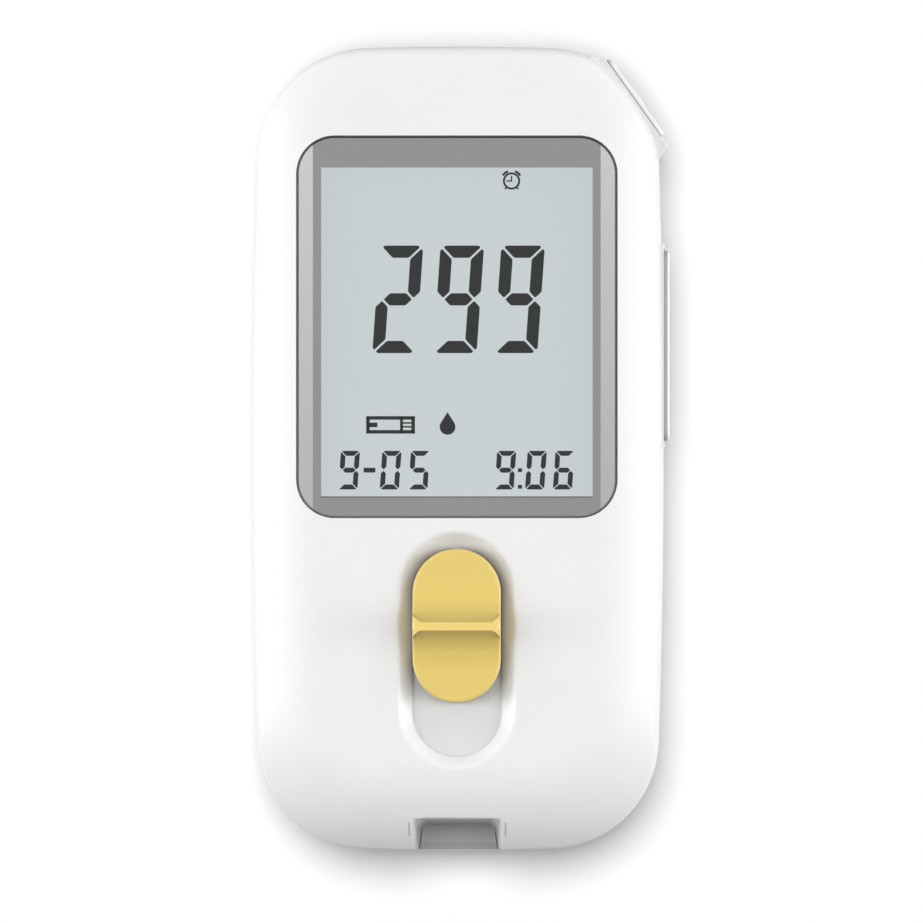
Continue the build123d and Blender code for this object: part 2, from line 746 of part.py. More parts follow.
def rear_cover():
    """Rear half of the case, with the battery compartment and the screw posts."""
    cover = rear_blank() - slab(outline(wall), wall, parting_z + overshoot)
    lip = outline(wall - lip_thickness) - outline(wall)
    lip = slab(lip, parting_z - lip_height, parting_z + lip_height) - lip_gaps()
    for x, y in case_screws:
        lip -= post(x, y, post_radius + lip_clearance, 0, body_height)
    cover += lip

    for x, y in case_screws:
        cover += post(x, y, post_radius, wall / 2, parting_z)
        cover += post(x, y, head_radius + head_clearance + head_wall, wall / 2,
                      head_seat_z + head_floor)
    cover += block(-compartment_outer, compartment_outer, compartment_bottom - end_wall,
                   compartment_top + end_wall, wall / 2, roof_z + roof_thickness)
    for side in (-1, 1):
        cover += block(side * compartment_half, side * (compartment_outer + rail_width),
                       door_y_bottom - rail_height, y_top - wall / 2, wall, wall + rail_height)
    cover += block(pivot_x - lug_half, pivot_x + lug_half, side_key_y - lug_half,
                   side_key_y + lug_half, wall / 2, boss_z_bottom - pivot_end_gap)
    cover += block(-guide_width / 2, guide_width / 2, notch_y + notch_wall + wall,
                   notch_y + notch_wall + 2 * wall, wall / 2, parting_z)

    cover -= block(-compartment_half, compartment_half, compartment_bottom, compartment_top,
                   -overshoot, roof_z)
    cover -= block(-door_lip_half, door_lip_half, door_y_bottom, y_top + overshoot,
                   -overshoot, wall)
    cover -= block(-door_tongue_half, door_tongue_half, door_y_bottom, y_top + overshoot,
                   door_lip_height, wall)
    cover -= block(-door_lip_half, door_lip_half, compartment_top + end_wall,
                   y_top + overshoot, -overshoot, door_end_height)
    for side in (-1, 1):
        x = side * cell_pitch / 2
        cover -= block(x - tab_half - tab_slot_clearance, x + tab_half + tab_slot_clearance,
                       compartment_bottom, compartment_bottom + contact_plate + tab_slot_clearance,
                       roof_z - overshoot, roof_z + 2 * roof_thickness)
    cover -= post(pivot_x, side_key_y, pivot_pin_radius + pivot_clearance,
                  boss_z_bottom - pivot_pin_length - 2 * pivot_end_gap, boss_z_bottom)
    for x, y in case_screws:
        cover -= post(x, y, head_radius + head_clearance, -overshoot, head_seat_z)
        cover -= post(x, y, screw_radius + screw_hole_clearance, 0, parting_z + overshoot)
    return cover


def battery_door():
    """Door that slides off the top end on two tongues, with grooves for the thumb."""
    skin = rear_blank() - slab(outline(wall), door_thickness, parting_z + overshoot)
    face_half = door_lip_half - door_clearance
    tongue_half = door_tongue_half - door_clearance
    low = door_y_bottom + door_clearance
    room = block(-face_half, face_half, low, y_top + overshoot, -overshoot,
                 door_end_height - door_clearance)
    room += block(-tongue_half, tongue_half, low, y_top + overshoot,
                  door_lip_height + door_clearance, door_thickness)
    door = skin & room
    for index in range(grip_grooves):
        y = y_top - grip_from_top - index * grip_pitch
        groove = Pos(0, y, 0) * Rot(0, 90, 0) * Cylinder(grip_depth, grip_length)
        door -= groove
    return door


# ================================================================ display
def display_window():
    """Clear window: a flat plate whose long sides slope down to the case."""
    lens = slab(window_shape(0), lens_z, lens_z + lens_thickness)
    top = lens_z + lens_thickness
    half = window_width / 2
    facet = Polyline((half - facet_width, top), (half + facet_width, top - 2 * facet_drop),
                     (half + facet_width, top + overshoot), (half - facet_width, top + overshoot),
                     close=True)
    facet = Pos(0, window_bottom - overshoot, 0) * extrude(
        Plane.XZ * make_face(facet), -window_length - 2 * overshoot)
    return lens - facet - Rot(0, 0, 180) * Pos(0, -2 * window_y, 0) * facet


def window_adhesive():
    """Thin adhesive frame that holds the window to its ledge."""
    ring = window_shape(tape_outset) - panel(
        -view_half - opening_margin - tape_inset, view_half + opening_margin + tape_inset,
        view_bottom - opening_margin - tape_inset, view_top + opening_margin + tape_inset,
        2 * opening_margin)
    return slab(ring, tape_z, tape_z + tape_thickness)


def lcd_glass():
    """The two glass sheets of the display; the front one carries the contact ledge."""
    return group([
        block(-glass_half, glass_half, glass_bottom, front_glass_top, front_glass_z, glass_top),
        block(-glass_half, glass_half, glass_bottom, rear_glass_top, rear_glass_z, front_glass_z)])


def lcd_reflector():
    """Reflecting film behind the display glass."""
    return block(-glass_half, glass_half, glass_bottom, rear_glass_top,
                 rear_glass_z - reflector_thickness, rear_glass_z)


def lcd_frame():
    """Plastic frame that holds the display glass over the circuit board."""
    floor_z = rear_glass_z - reflector_thickness
    frame = block(-frame_half, frame_half, frame_bottom, frame_top, board_top,
                  ledge_z - frame_top_gap)
    frame -= block(-glass_half - frame_gap, glass_half + frame_gap, glass_bottom - frame_gap,
                   front_glass_top + frame_gap, floor_z, body_height)
    frame -= block(-glass_half - frame_gap, glass_half + frame_gap, glass_bottom - frame_gap,
                   rear_glass_top - frame_wall, 0, floor_z - frame_floor)
    frame -= block(-glass_half - frame_gap, glass_half + frame_gap, rear_glass_top + frame_gap,
                   front_glass_top + frame_gap, 0, body_height)
    return frame


def zebra_strip():
    """Layered rubber strip that joins the board's pads to the glass ledge."""
    y = (rear_glass_top + front_glass_top) / 2
    return block(-glass_half + zebra_inset, glass_half - zebra_inset, y - zebra_width / 2,
                 y + zebra_width / 2, board_top, front_glass_z)


# ================================================================ circuit board
def circuit_board():
    """Board with a narrow lower end that carries the strip connector."""
    board = panel(-board_half, board_half, board_y_shoulder, board_y_top, board_corner)
    board += panel(-tongue_half, tongue_half, board_y_bottom, board_y_shoulder + 2 * board_corner,
                   board_corner)
    board -= corner * Pos(switch_face_u - corner_board_overhang + corner_radius, 0) * Rectangle(
        2 * corner_radius, 4 * corner_radius)
    for x, y in board_screws:
        board -= Pos(x, y) * Circle(board_screw_radius + screw_hole_clearance)
    for side in (-1, 1):
        board -= Pos(side * cell_pitch / 2, compartment_bottom + contact_plate / 2) * Rectangle(
            2 * (tab_half + tab_slot_clearance), contact_plate + 2 * tab_slot_clearance)
    board -= Pos(0, (slot_y_bottom + slot_y_top) / 2) * Rectangle(
        2 * slot_half, slot_y_top - slot_y_bottom)
    return slab(board, board_z, board_top)


def chip(x, y, length, width, height, pins):
    """Chip under the board with pins down both long sides."""
    body = block(x - length / 2, x + length / 2, y - width / 2, y + width / 2,
                 board_z - height - chip_standoff, board_z - chip_standoff)
    body = chamfer(body.edges().group_by(Axis.Z)[0], chip_chamfer)
    for index in range(pins):
        pin_x = x + (index - (pins - 1) / 2) * pin_pitch
        for side in (-1, 1):
            edge = y + side * width / 2
            body += block(pin_x - pin_half, pin_x + pin_half, edge - side * chip_chamfer,
                          edge + side * pin_reach, board_z - height / 2 - pin_thickness,
                          board_z - height / 2)
            body += block(pin_x - pin_half, pin_x + pin_half, edge + side * pin_reach,
                          edge + side * (pin_reach + pin_thickness),
                          board_z - height / 2 - pin_thickness, board_z)
    return body


def microcontroller():
    """Main chip that measures, keeps time and drives the display."""
    return chip(microcontroller_x, chips_y, *microcontroller_size, microcontroller_pins)


def analog_chip():
    """Small chip that reads the strip's current."""
    return chip(-analog_x, analog_y, *small_chip_size, small_chip_pins)


def memory_chip():
    """Small chip that stores the readings."""
    return chip(analog_x, analog_y, *small_chip_size, small_chip_pins)


def watch_crystal():
    """Clock crystal in a metal can, lying across the board."""
    can = Pos(0, crystal_y, board_z - crystal_radius) * Rot(0, 90, 0) * Cylinder(
        crystal_radius, crystal_length)
    return fillet(can.edges(), crystal_edge)


def board_components():
    """Resistors and capacitors in two rows under the board."""
    solids = []
    for row in range(component_rows):
        for index in range(component_columns):
            x = (index - (component_columns - 1) / 2) * component_pitch
            if abs(x) > slot_half + component_pitch / 2:
                y = component_y - row * component_row_pitch
                solids.append(block(x - component_half_length, x + component_half_length,
                                    y - component_half_width, y + component_half_width,
                                    board_z - component_height, board_z))
    return group(solids)


def buzzer():
    """Round buzzer with its sound hole facing the rear cover."""
    case = post(-buzzer_x, chips_y, buzzer_radius, board_z - buzzer_height, board_z)
    case = fillet(case.edges().group_by(Axis.Z)[0], buzzer_edge)
    return case - post(-buzzer_x, chips_y, buzzer_hole, board_z - buzzer_height - overshoot,
                       board_z - buzzer_height / 2)


# ================================================================ strip port
def strip_guide():
    """Insert in the port that leads the test strip into the connector."""
    guide = slab(guide_outline(0, guide_y_bottom), parting_z, strip_z)
    lead = guide.edges().filter_by(Axis.X).sort_by(lambda edge: edge.center().Y - edge.center().Z)[0]
    return chamfer(lead, guide_lead_in)


def strip_connector():
    """Connector under the board: a channel for the strip and a groove for the ejector."""
    half = connector_width / 2
    channel_half = strip_channel_width / 2
    housing = block(-half, half, connector_y_bottom, connector_y_top, connector_z, board_z)
    housing -= block(-channel_half, channel_half, connector_y_bottom - overshoot,
                     connector_y_top - connector_floor, strip_z, strip_z + strip_channel_height)
    housing -= block(-slot_half, slot_half, slot_y_bottom, connector_y_top + overshoot,
                     connector_z + connector_floor / 2, board_z + overshoot)
    for x in contact_places():
        slot_half_width = contact_width / 2 + contact_slot_clearance
        housing -= block(x - slot_half_width, x + slot_half_width,
                         slot_y_bottom + connector_floor, connector_y_top + overshoot,
                         strip_z + strip_channel_height / 2, board_z + overshoot)
    return housing


def contact_places():
    """X positions of the contact springs, two on each side of the ejector's groove."""
    return [side * (contact_first + index * contact_pitch) for side in (-1, 1)
            for index in range(2)]


def strip_contacts():
    """Gold-plated springs that touch the strip: foot on the board, arm, rounded nose."""
    foot_y = connector_y_top - contact_foot
    nose_y = slot_y_bottom + connector_floor + contact_nose_margin
    low = board_z - contact_thickness
    nose_z = strip_z + strip_channel_height / 2 + contact_thickness
    path = [(connector_y_top, low), (foot_y, low), (nose_y + contact_nose, nose_z - contact_thickness),
            (nose_y, nose_z)]
    back = [(y, z + contact_thickness) for y, z in reversed(path)]
    profile = make_face(Polyline(*path, *back, close=True))
    spring = extrude(Plane.YZ * profile, contact_width / 2, both=True)
    return group([Pos(x, 0, 0) * spring for x in contact_places()])


# ================================================================ ejector
def ejector_button():
    """Slider button: two concave ramps that meet at a cross ridge, and a stem below."""
    ramp = ridge_width / 2 + ridge_sweep
    crest = ridge_width / 2
    half = button_length / 2
    right = [Line((half, button_base_z), (half, button_level)),
             Line((half, button_level), (ramp, button_level)),
             TangentArc((ramp, button_level), (crest, ridge_z), tangent=(-1, 0))]
    left = [mirror(edge, about=Plane.YZ) for edge in right]
    ends = [Line((crest, ridge_z), (-crest, ridge_z)),
            Line((-half, button_base_z), (half, button_base_z))]
    profile = make_face(right + left + ends)
    body = Pos(0, button_y, 0) * extrude(Plane.YZ * profile, button_width / 2, both=True)
    body &= slab(stadium(button_bottom, button_top, button_width / 2), button_base_z,
                 ridge_z + overshoot)
    upper = [edge for edge in body.edges()
             if edge.bounding_box().min.Z > button_base_z + button_edge and on_rim(edge)]
    body = fillet(upper, button_edge) + ridge_flares()
    stem = block(-stem_width / 2, stem_width / 2, button_y - stem_length / 2,
                 button_y + stem_length / 2, carriage_top, button_base_z + button_edge)
    return body + stem - post(0, button_y, micro_screw_radius, carriage_top - overshoot,
                              carriage_z + micro_screw_length + screw_hole_clearance)


def ridge_flares():
    """Rounded corners that widen the ridge towards both sides of the button."""
    full = slab(stadium(button_bottom, button_top, button_width / 2 - ridge_flare_gap),
                button_base_z + ridge_flare_gap, ridge_z - ridge_flare_gap)
    full = fillet(full.edges().group_by(Axis.Z)[-1], button_edge)
    flare = Rectangle(ridge_flare, ridge_flare, align=(Align.MAX, Align.MIN))
    flare -= Pos(-ridge_flare, ridge_flare) * Circle(ridge_flare)
    flare = Pos(button_width / 2 + ridge_flare_out, ridge_width / 2) * flare
    flares = slab(flare, button_base_z, ridge_z)
    flares += mirror(flares, about=Plane.XZ)
    flares += mirror(flares, about=Plane.YZ)
    return full & Pos(0, button_y) * flares


def on_rim(edge):
    """True for the button's upper outer edges, not for those that run across it."""
    return edge.bounding_box().size.X < button_width / 2 or edge.bounding_box().size.Y > button_edge


def ejector_carriage():
    """Slide under the front cover: plate, finger behind the strip and two spring arms."""
    half = carriage_width / 2
    plate = slab(panel(-half, half, carriage_y_bottom, carriage_y_top, carriage_corner),
                 carriage_z, carriage_top)
    arm_half = spring_x + arm_reach
    arm_y = spring_top_y
    plate += block(-arm_half, arm_half, arm_y, arm_y + arm_thickness, carriage_z,
                   spring_z + spring_post)
    plug_half = pocket_half + pocket_wall + carriage_gap
    plate -= block(-plug_half, plug_half, arm_y - overshoot, arm_y + 2 * arm_thickness,
                   carriage_top, body_height)
    for side in (-1, 1):
        pin = Pos(side * spring_x, arm_y, spring_z) * Rot(90, 0, 0)
        plate += pin * post(0, 0, spring_post, 0, arm_post_length)
    plate += block(-finger_width / 2, finger_width / 2, finger_y_bottom, finger_y_top,
                   strip_z - finger_overlap, carriage_top)
    return plate - post(0, button_y, micro_screw_radius + screw_hole_clearance,
                        carriage_z - overshoot, body_height)


def ejector_screw():
    """Small screw that holds the carriage to the button's stem."""
    return screw(0, button_y, micro_screw_radius, micro_screw_length, micro_head_radius,
                 micro_head_height, carriage_z)


def ejector_springs():
    """Pair of springs that push the ejector back up."""
    spring = coil(spring_radius, spring_radius, spring_wire, spring_length, spring_turns)
    return group([Pos(side * spring_x, spring_bottom_y, spring_z) * Rot(-90, 0, 0) * spring
                  for side in (-1, 1)])


# ================================================================ keys
def corner_key():
    """Key in the upper right corner: cap, retaining flange and a rib for the switch."""
    half = corner_key_length / 2
    cap = sideways(corner_rib_u, corner_seat_u + corner_key_proud, corner_key_shift - half,
                   corner_key_shift + half, key_z_bottom, key_z_top, corner_key_corner)
    cap = fillet(cap.edges().group_by(Axis.X)[-1], key_edge)
    flange = corner_flange_length / 2
    cap += block(corner_rib_u, corner_flange_u, corner_key_shift - flange,
                 corner_key_shift + flange, key_z_bottom - corner_flange_margin,
                 key_z_top + corner_flange_margin)
    cap += block(plunger_tip_u, corner_rib_u, corner_key_shift - corner_rib_half,
                 corner_key_shift + corner_rib_half, key_z - corner_rib_half,
                 key_z + corner_rib_half)
    return corner * cap


def plunger_box(grow, u0, u1):
    """Block with the section of the switch plunger, larger all round by grow."""
    half = plunger_half + grow
    height = plunger_height / 2 + grow
    return block(u0, u1, corner_key_shift - half, corner_key_shift + half, key_z - height,
                 key_z + height)


def corner_switch():
    """Side-push switch under the board, behind the corner key."""
    half = switch_length / 2
    case = block(switch_back_u, switch_face_u, corner_key_shift - half, corner_key_shift + half,
                 board_z - switch_height, board_z)
    inside = plunger_tip_u - plunger_length - corner_key_travel - plunger_end_gap
    return corner * (case - plunger_box(plunger_clearance, inside, switch_face_u + overshoot))


def corner_plunger():
    """Plunger of that switch; it rests on the key's rib and moves with it."""
    return corner * plunger_box(0, plunger_tip_u - plunger_length, plunger_tip_u)


def side_key():
    """Rocker key in the right side: long cap, two ribs, and a pivot boss with stub pins."""
    half = side_key_length / 2
    cap = sideways(side_cap_x, side_key_x, side_key_y - half, side_key_y + half, key_z_bottom,
                   key_z_top, side_key_corner)
    cap = fillet(cap.edges().group_by(Axis.X)[-1], key_edge)
    cap += post(pivot_x, side_key_y, pivot_boss_radius, boss_z_bottom, boss_z_top)
    cap += post(pivot_x, side_key_y, pivot_pin_radius, boss_z_bottom - pivot_pin_length,
                boss_z_top + pivot_pin_length)
    for side in (-1, 1):
        y = side_key_y + side * side_dome_offset
        cap += block(side_rib_x, side_cap_x + key_edge, y - side_rib_half, y + side_rib_half,
                     key_z - side_rib_height / 2, key_z + side_rib_height / 2)
    return cap


def side_key_board():
    """Small board on edge behind the side key, soldered to the main board's edge."""
    half = side_board_length / 2
    return block(side_board_x, side_pad_x, side_key_y - half, side_key_y + half,
                 side_board_z_bottom, side_board_z_top)


def side_key_pad():
    """Silicone strip with two domes that the side key's ribs press."""
    half = side_board_length / 2
    pad = block(side_pad_x, side_dome_x, side_key_y - half, side_key_y + half,
                side_board_z_bottom, side_board_z_top)
    for side in (-1, 1):
        dome = Cone(side_dome_radius, side_dome_tip, side_dome_height)
        pad += Pos(side_dome_x + side_dome_height / 2, side_key_y + side * side_dome_offset,
                   key_z) * Rot(0, 90, 0) * dome
    return pad


# ================================================================ batteries
def battery_cell(side):
    """One cell; the left one points up and the right one points down."""
    can = post(0, 0, cell_radius, 0, cell_length - cell_nub_length)
    can = fillet(can.edges(), cell_edge)
    can += post(0, 0, cell_nub_radius, 0, cell_length)
    if side < 0:
        place = Pos(0, compartment_top - contact_plate - cell_length, 0) * Rot(-90, 0, 0)
    else:
        place = Pos(0, compartment_bottom + contact_plate + cell_length, 0) * Rot(90, 0, 0)
    return Pos(side * cell_pitch / 2, 0, cell_z) * place * can


def battery_springs():
    """Conical springs behind the flat end of each cell."""
    spring = coil(battery_spring_radius, battery_spring_tip, battery_spring_wire,
                  battery_spring_length, battery_spring_turns)
    x = cell_pitch / 2
    lower = Pos(-x, compartment_bottom + contact_plate, cell_z) * Rot(-90, 0, 0) * spring
    upper = Pos(x, compartment_top - contact_plate, cell_z) * Rot(90, 0, 0) * spring
    return group([lower, upper])


def battery_terminals():
    """Two spring-steel plates at the lower end, each with a tab up to the board."""
    plates = []
    for side in (-1, 1):
        x = side * cell_pitch / 2
        plate = block(x - plate_half, x + plate_half, compartment_bottom,
                      compartment_bottom + contact_plate, cell_z - plate_half, cell_z + plate_half)
        plate += block(x - tab_half, x + tab_half, compartment_bottom,
                       compartment_bottom + contact_plate, cell_z, board_top)
        plates.append(plate)
    return group(plates)


def battery_link():
    """Plate at the top end that joins the two cells."""
    reach = cell_pitch / 2 + plate_half
    return block(-reach, reach, compartment_top - contact_plate, compartment_top,
                 cell_z - plate_half, cell_z + plate_half)


# ================================================================ screws
def case_screw_set():
    """Four screws that hold the covers together, from the back."""
    return group([screw(x, y, screw_radius, case_screw_length, head_radius, head_height,
                        head_seat_z) for x, y in case_screws])


def board_screw_set():
    """Four screws that hold the circuit board to the front cover."""
    return group([screw(x, y, board_screw_radius, board_screw_length, board_head_radius,
                        board_head_height, board_z) for x, y in board_screws])


# ================================================================ export
parts = {
    "front_cover": front_cover(),
    "rear_cover": rear_cover(),
    "battery_door": battery_door(),
    "display_window": display_window(),
    "window_adhesive": window_adhesive(),
    "lcd_glass": lcd_glass(),
    "lcd_reflector": lcd_reflector(),
    "lcd_frame": lcd_frame(),
    "zebra_strip": zebra_strip(),
    "circuit_board": circuit_board(),
    "microcontroller": microcontroller(),
    "analog_chip": analog_chip(),
    "memory_chip": memory_chip(),
    "watch_crystal": watch_crystal(),
    "board_components": board_components(),
    "buzzer": buzzer(),
    "strip_guide": strip_guide(),
    "strip_connector": strip_connector(),
    "strip_contacts": strip_contacts(),
    "ejector_button": ejector_button(),
    "ejector_carriage": ejector_carriage(),
    "ejector_screw": ejector_screw(),
    "ejector_springs": ejector_springs(),
    "corner_key": corner_key(),
    "corner_switch": corner_switch(),
    "corner_plunger": corner_plunger(),
    "side_key": side_key(),
    "side_key_board": side_key_board(),
    "side_key_pad": side_key_pad(),
    "battery_cell_left": battery_cell(-1),
    "battery_cell_right": battery_cell(1),
    "battery_springs": battery_springs(),
    "battery_terminals": battery_terminals(),
    "battery_link": battery_link(),
    "case_screws": case_screw_set(),
    "board_screws": board_screw_set(),
}

os.makedirs("parts", exist_ok=True)
for name, shape in parts.items():
    export_step(shape, f"parts/{name}.step")
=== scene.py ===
from math import acos, cos, pi, radians, sin, tan
import bmesh
import bpy
from mathutils import Matrix, Vector


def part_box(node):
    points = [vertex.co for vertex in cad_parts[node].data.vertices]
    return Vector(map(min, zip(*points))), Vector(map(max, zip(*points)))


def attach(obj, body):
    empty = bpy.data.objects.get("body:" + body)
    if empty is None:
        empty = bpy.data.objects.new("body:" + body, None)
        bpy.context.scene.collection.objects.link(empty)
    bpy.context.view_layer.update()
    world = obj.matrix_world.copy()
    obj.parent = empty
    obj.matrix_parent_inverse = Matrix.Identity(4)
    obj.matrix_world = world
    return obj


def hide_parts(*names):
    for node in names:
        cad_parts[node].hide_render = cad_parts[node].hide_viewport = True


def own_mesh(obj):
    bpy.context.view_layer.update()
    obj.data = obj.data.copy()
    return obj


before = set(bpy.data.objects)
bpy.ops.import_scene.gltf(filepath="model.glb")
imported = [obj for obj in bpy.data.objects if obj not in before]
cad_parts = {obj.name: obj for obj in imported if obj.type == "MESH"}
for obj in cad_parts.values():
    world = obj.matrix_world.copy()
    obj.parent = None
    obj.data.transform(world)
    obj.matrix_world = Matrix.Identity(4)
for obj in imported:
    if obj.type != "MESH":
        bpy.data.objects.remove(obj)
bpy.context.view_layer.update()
mm = 0.001


# ---------------------------------------------------------------- circuit boards
# The boards are glass-epoxy under green solder mask, with the copper tracks showing through
# the mask as paler lines. Everything else in the case is mounted on them or hangs below them.
class Shade:
    """A shader value that Python's operators build on: an expression adds its Math nodes."""

    def __init__(self, tree, socket=None):
        self.tree = tree
        self.socket = socket

    def feed(self, node, sockets):
        """Set or link a node's sockets, by name or by number."""
        for key, value in sockets.items():
            if isinstance(value, Shade):
                self.tree.links.new(value.socket, node.inputs[key])
            else:
                node.inputs[key].default_value = value

    def add(self, kind, sockets, output=0, **settings):
        """Add a node with its settings, feed its sockets and return one of its outputs."""
        fresh = self.tree.nodes.new(kind)
        for key, value in settings.items():
            setattr(fresh, key, value)
        self.feed(fresh, sockets)
        return Shade(self.tree, fresh.outputs[output])

    def math(self, operation, *values):
        return self.add("ShaderNodeMath", dict(enumerate(values)), operation=operation)

    def __add__(self, other):
        return self.math("ADD", self, other)

    def __sub__(self, other):
        return self.math("SUBTRACT", self, other)

    def __rsub__(self, other):
        return self.math("SUBTRACT", other, self)

    def __mul__(self, other):
        return self.math("MULTIPLY", self, other)

    def __truediv__(self, other):
        return self.math("DIVIDE", self, other)

    def __gt__(self, other):
        return self.math("GREATER_THAN", self, other)

    def __lt__(self, other):
        return self.math("LESS_THAN", self, other)

    def __abs__(self):
        return self.math("ABSOLUTE", self)

    __radd__ = __add__
    __rmul__ = __mul__

    def at_least(self, other):
        return self.math("MAXIMUM", self, other)

    def at_most(self, other):
        return self.math("MINIMUM", self, other)

    def distance(self, other):
        """How far a step of this value one way and of the other across it leads."""
        return self.math("SQRT", self.math("POWER", self, 2.0) + self.math("POWER", other, 2.0))

    def colours(self, low, high):
        """A mix of two colours: low where this value is 0 and high where it is 1."""
        return self.add("ShaderNodeMix", {0: self, 6: low, 7: high}, output=2, data_type="RGBA")

    def noise(self, size, detail=2.0):
        """Cloudy value around 0.5 with features of this size, read at this place."""
        return self.add("ShaderNodeTexNoise",
                        {"Vector": self, "Scale": 1 / size, "Detail": detail})

    def axes(self):
        """The x, y and z of this place."""
        return [self.add("ShaderNodeSeparateXYZ", {0: self}, output=axis) for axis in range(3)]

    def bump(self, depth):
        """Normals roughened by this value, as a relief of this depth."""
        return self.add("ShaderNodeBump", {"Height": self, "Distance": depth})


def new_finish(name):
    """A new material: the material, its Principled shader and the place on the piece."""
    material = bpy.data.materials.new(name)
    material.use_nodes = True
    shader = material.node_tree.nodes["Principled BSDF"]
    place = Shade(material.node_tree).add("ShaderNodeTexCoord", {}, output="Object")
    return material, shader, place


def rgb(red, green, blue):
    """A shader colour from three screen values of 0 to 255."""
    linear = [(level / 255 + 0.055) ** 2.4 / 1.055 ** 2.4 for level in (red, green, blue)]
    return (*linear, 1.0)


def coat(material, *nodes):
    """Give CAD nodes one finish all over."""
    for node in nodes:
        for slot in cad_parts[node].material_slots:
            slot.material = material


track_pitch = 1.9 * mm
track_width = 0.3 * mm
track_length = 3.2 * track_pitch
weave_size = 0.5 * mm
track_relief = 0.02 * mm


def solder_mask():
    """Green lacquer over copper tracks that run along and across the board."""
    material, shader, place = new_finish("solder_mask")
    tracks = place.add("ShaderNodeTexBrick", {
        "Vector": place, "Color1": (0, 0, 0, 1), "Color2": (0, 0, 0, 1), "Mortar": (1, 1, 1, 1),
        "Scale": 1.0, "Mortar Size": track_width / 2, "Mortar Smooth": 0.2,
        "Brick Width": track_length, "Row Height": track_pitch}, output="Fac")
    weave = place.noise(weave_size)
    place.feed(shader, {"Base Color": tracks.colours(rgb(14, 74, 44), rgb(40, 112, 66)),
                        "Roughness": 0.28 + 0.12 * weave,
                        "Normal": (tracks + 0.2 * weave).bump(track_relief)})
    return material


coat(solder_mask(), "circuit_board", "side_key_board")


# ---------------------------------------------------------------- parts under the board
# Black epoxy chips on tinned legs, a watch crystal in a steel can and ceramic chip parts
# with tinned ends. All are soldered to the underside of the board.
leg_reach = 0.72 * mm
ceramic_pitch = 2.1 * mm
ceramic_body = 0.55 * mm
ceramic_patch = 2.6 * mm
epoxy_grain = 0.12 * mm
epoxy_relief = 0.006 * mm
metal_grain = 0.08 * mm
metal_patch = 2.5 * mm
metal_relief = 0.003 * mm


def bare_metal(name, colour, roughness, grain=metal_grain):
    """Bare metal with a fine drawn or rolled grain that dulls in patches."""
    material, shader, place = new_finish(name)
    drawn = place.noise(grain, detail=4.0)
    dulled = [0.86 * level for level in colour[:3]] + [1.0]
    place.feed(shader, {"Base Color": place.noise(metal_patch).colours(colour, dulled),
                        "Metallic": 1.0, "Roughness": roughness + 0.14 * drawn,
                        "Normal": drawn.bump(metal_relief)})
    return material


def chip_epoxy(chip):
    """Moulded black epoxy, with tinned legs along both long sides of this chip."""
    low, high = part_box(chip)
    material, shader, place = new_finish(chip + "_epoxy")
    across = abs(place.axes()[1] - (low.y + high.y) / 2)
    legs = across > (high.y - low.y) / 2 - leg_reach
    grain = place.noise(epoxy_grain)
    place.feed(shader, {"Base Color": legs.colours(rgb(38, 38, 40), rgb(205, 205, 200)),
                        "Metallic": legs, "Roughness": 0.62 - 0.3 * legs + 0.1 * grain,
                        "Normal": grain.bump(epoxy_relief)})
    return material


def chip_ceramic():
    """Fired ceramic bodies with tinned ends, in rows at an even pitch."""
    material, shader, place = new_finish("chip_ceramic")
    along = place.axes()[0] / ceramic_pitch
    ends = abs(along.math("WRAP", along, 0.5, -0.5)) * ceramic_pitch > ceramic_body
    body = place.noise(ceramic_patch).colours(rgb(96, 74, 58), rgb(186, 158, 124))
    place.feed(shader, {"Base Color": ends.colours(body, rgb(210, 210, 205)), "Metallic": ends,
                        "Roughness": 0.55 - 0.25 * ends})
    return material


for chip in ("microcontroller", "analog_chip", "memory_chip"):
    coat(chip_epoxy(chip), chip)
coat(chip_ceramic(), "board_components")
coat(bare_metal("crystal_can", rgb(196, 197, 200), 0.22), "watch_crystal")


# ---------------------------------------------------------------- buzzer, switch and connector
# Moulded housings soldered under the board: a round buzzer, the side-push switch behind the
# corner key, and the connector whose gold-plated springs touch the test strip.
broad_patch = 9 * mm
tool_grain = 0.22 * mm
tool_relief = 0.003 * mm


def mould_surface(shader, place, broad, colour, roughness, grain=tool_grain):
    """Set the colour of moulded plastic, its fine tool grain and a gloss that varies a little."""
    place.feed(shader, {"Base Color": colour, "Roughness": roughness + 0.08 * broad,
                        "Normal": place.noise(grain).bump(tool_relief)})


def moulded(name, colour, roughness, grain=tool_grain, shift=0.03):
    """Moulded plastic in a shade that varies a little."""
    material, shader, place = new_finish(name)
    broad = place.noise(broad_patch)
    darker = [level * (1 - shift) for level in colour[:3]] + [1.0]
    mould_surface(shader, place, broad, broad.colours(darker, colour), roughness, grain)
    return material


coat(moulded("buzzer_plastic", rgb(30, 30, 32), 0.45), "buzzer", "corner_switch")
coat(moulded("plunger_plastic", rgb(228, 222, 204), 0.4), "corner_plunger")
coat(moulded("connector_nylon", rgb(44, 44, 46), 0.5, grain=0.1 * mm), "strip_connector")
coat(bare_metal("gold_plate", rgb(232, 190, 96), 0.18), "strip_contacts")


# ---------------------------------------------------------------- display
# Two glass sheets under a polariser lie on a silvered film in a plastic frame, and a layered
# rubber strip joins them to the board. The liquid crystal shows the segments dark on grey.
glass_low, glass_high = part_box("lcd_glass")
glass_margin = 1.0 * mm
contact_ledge = 2.4 * mm
view_half = glass_high.x - glass_margin
view_bottom = glass_low.y + glass_margin
view_top = glass_high.y - contact_ledge - glass_margin
rubber_layer = 0.18 * mm
film_sparkle = 0.16 * mm


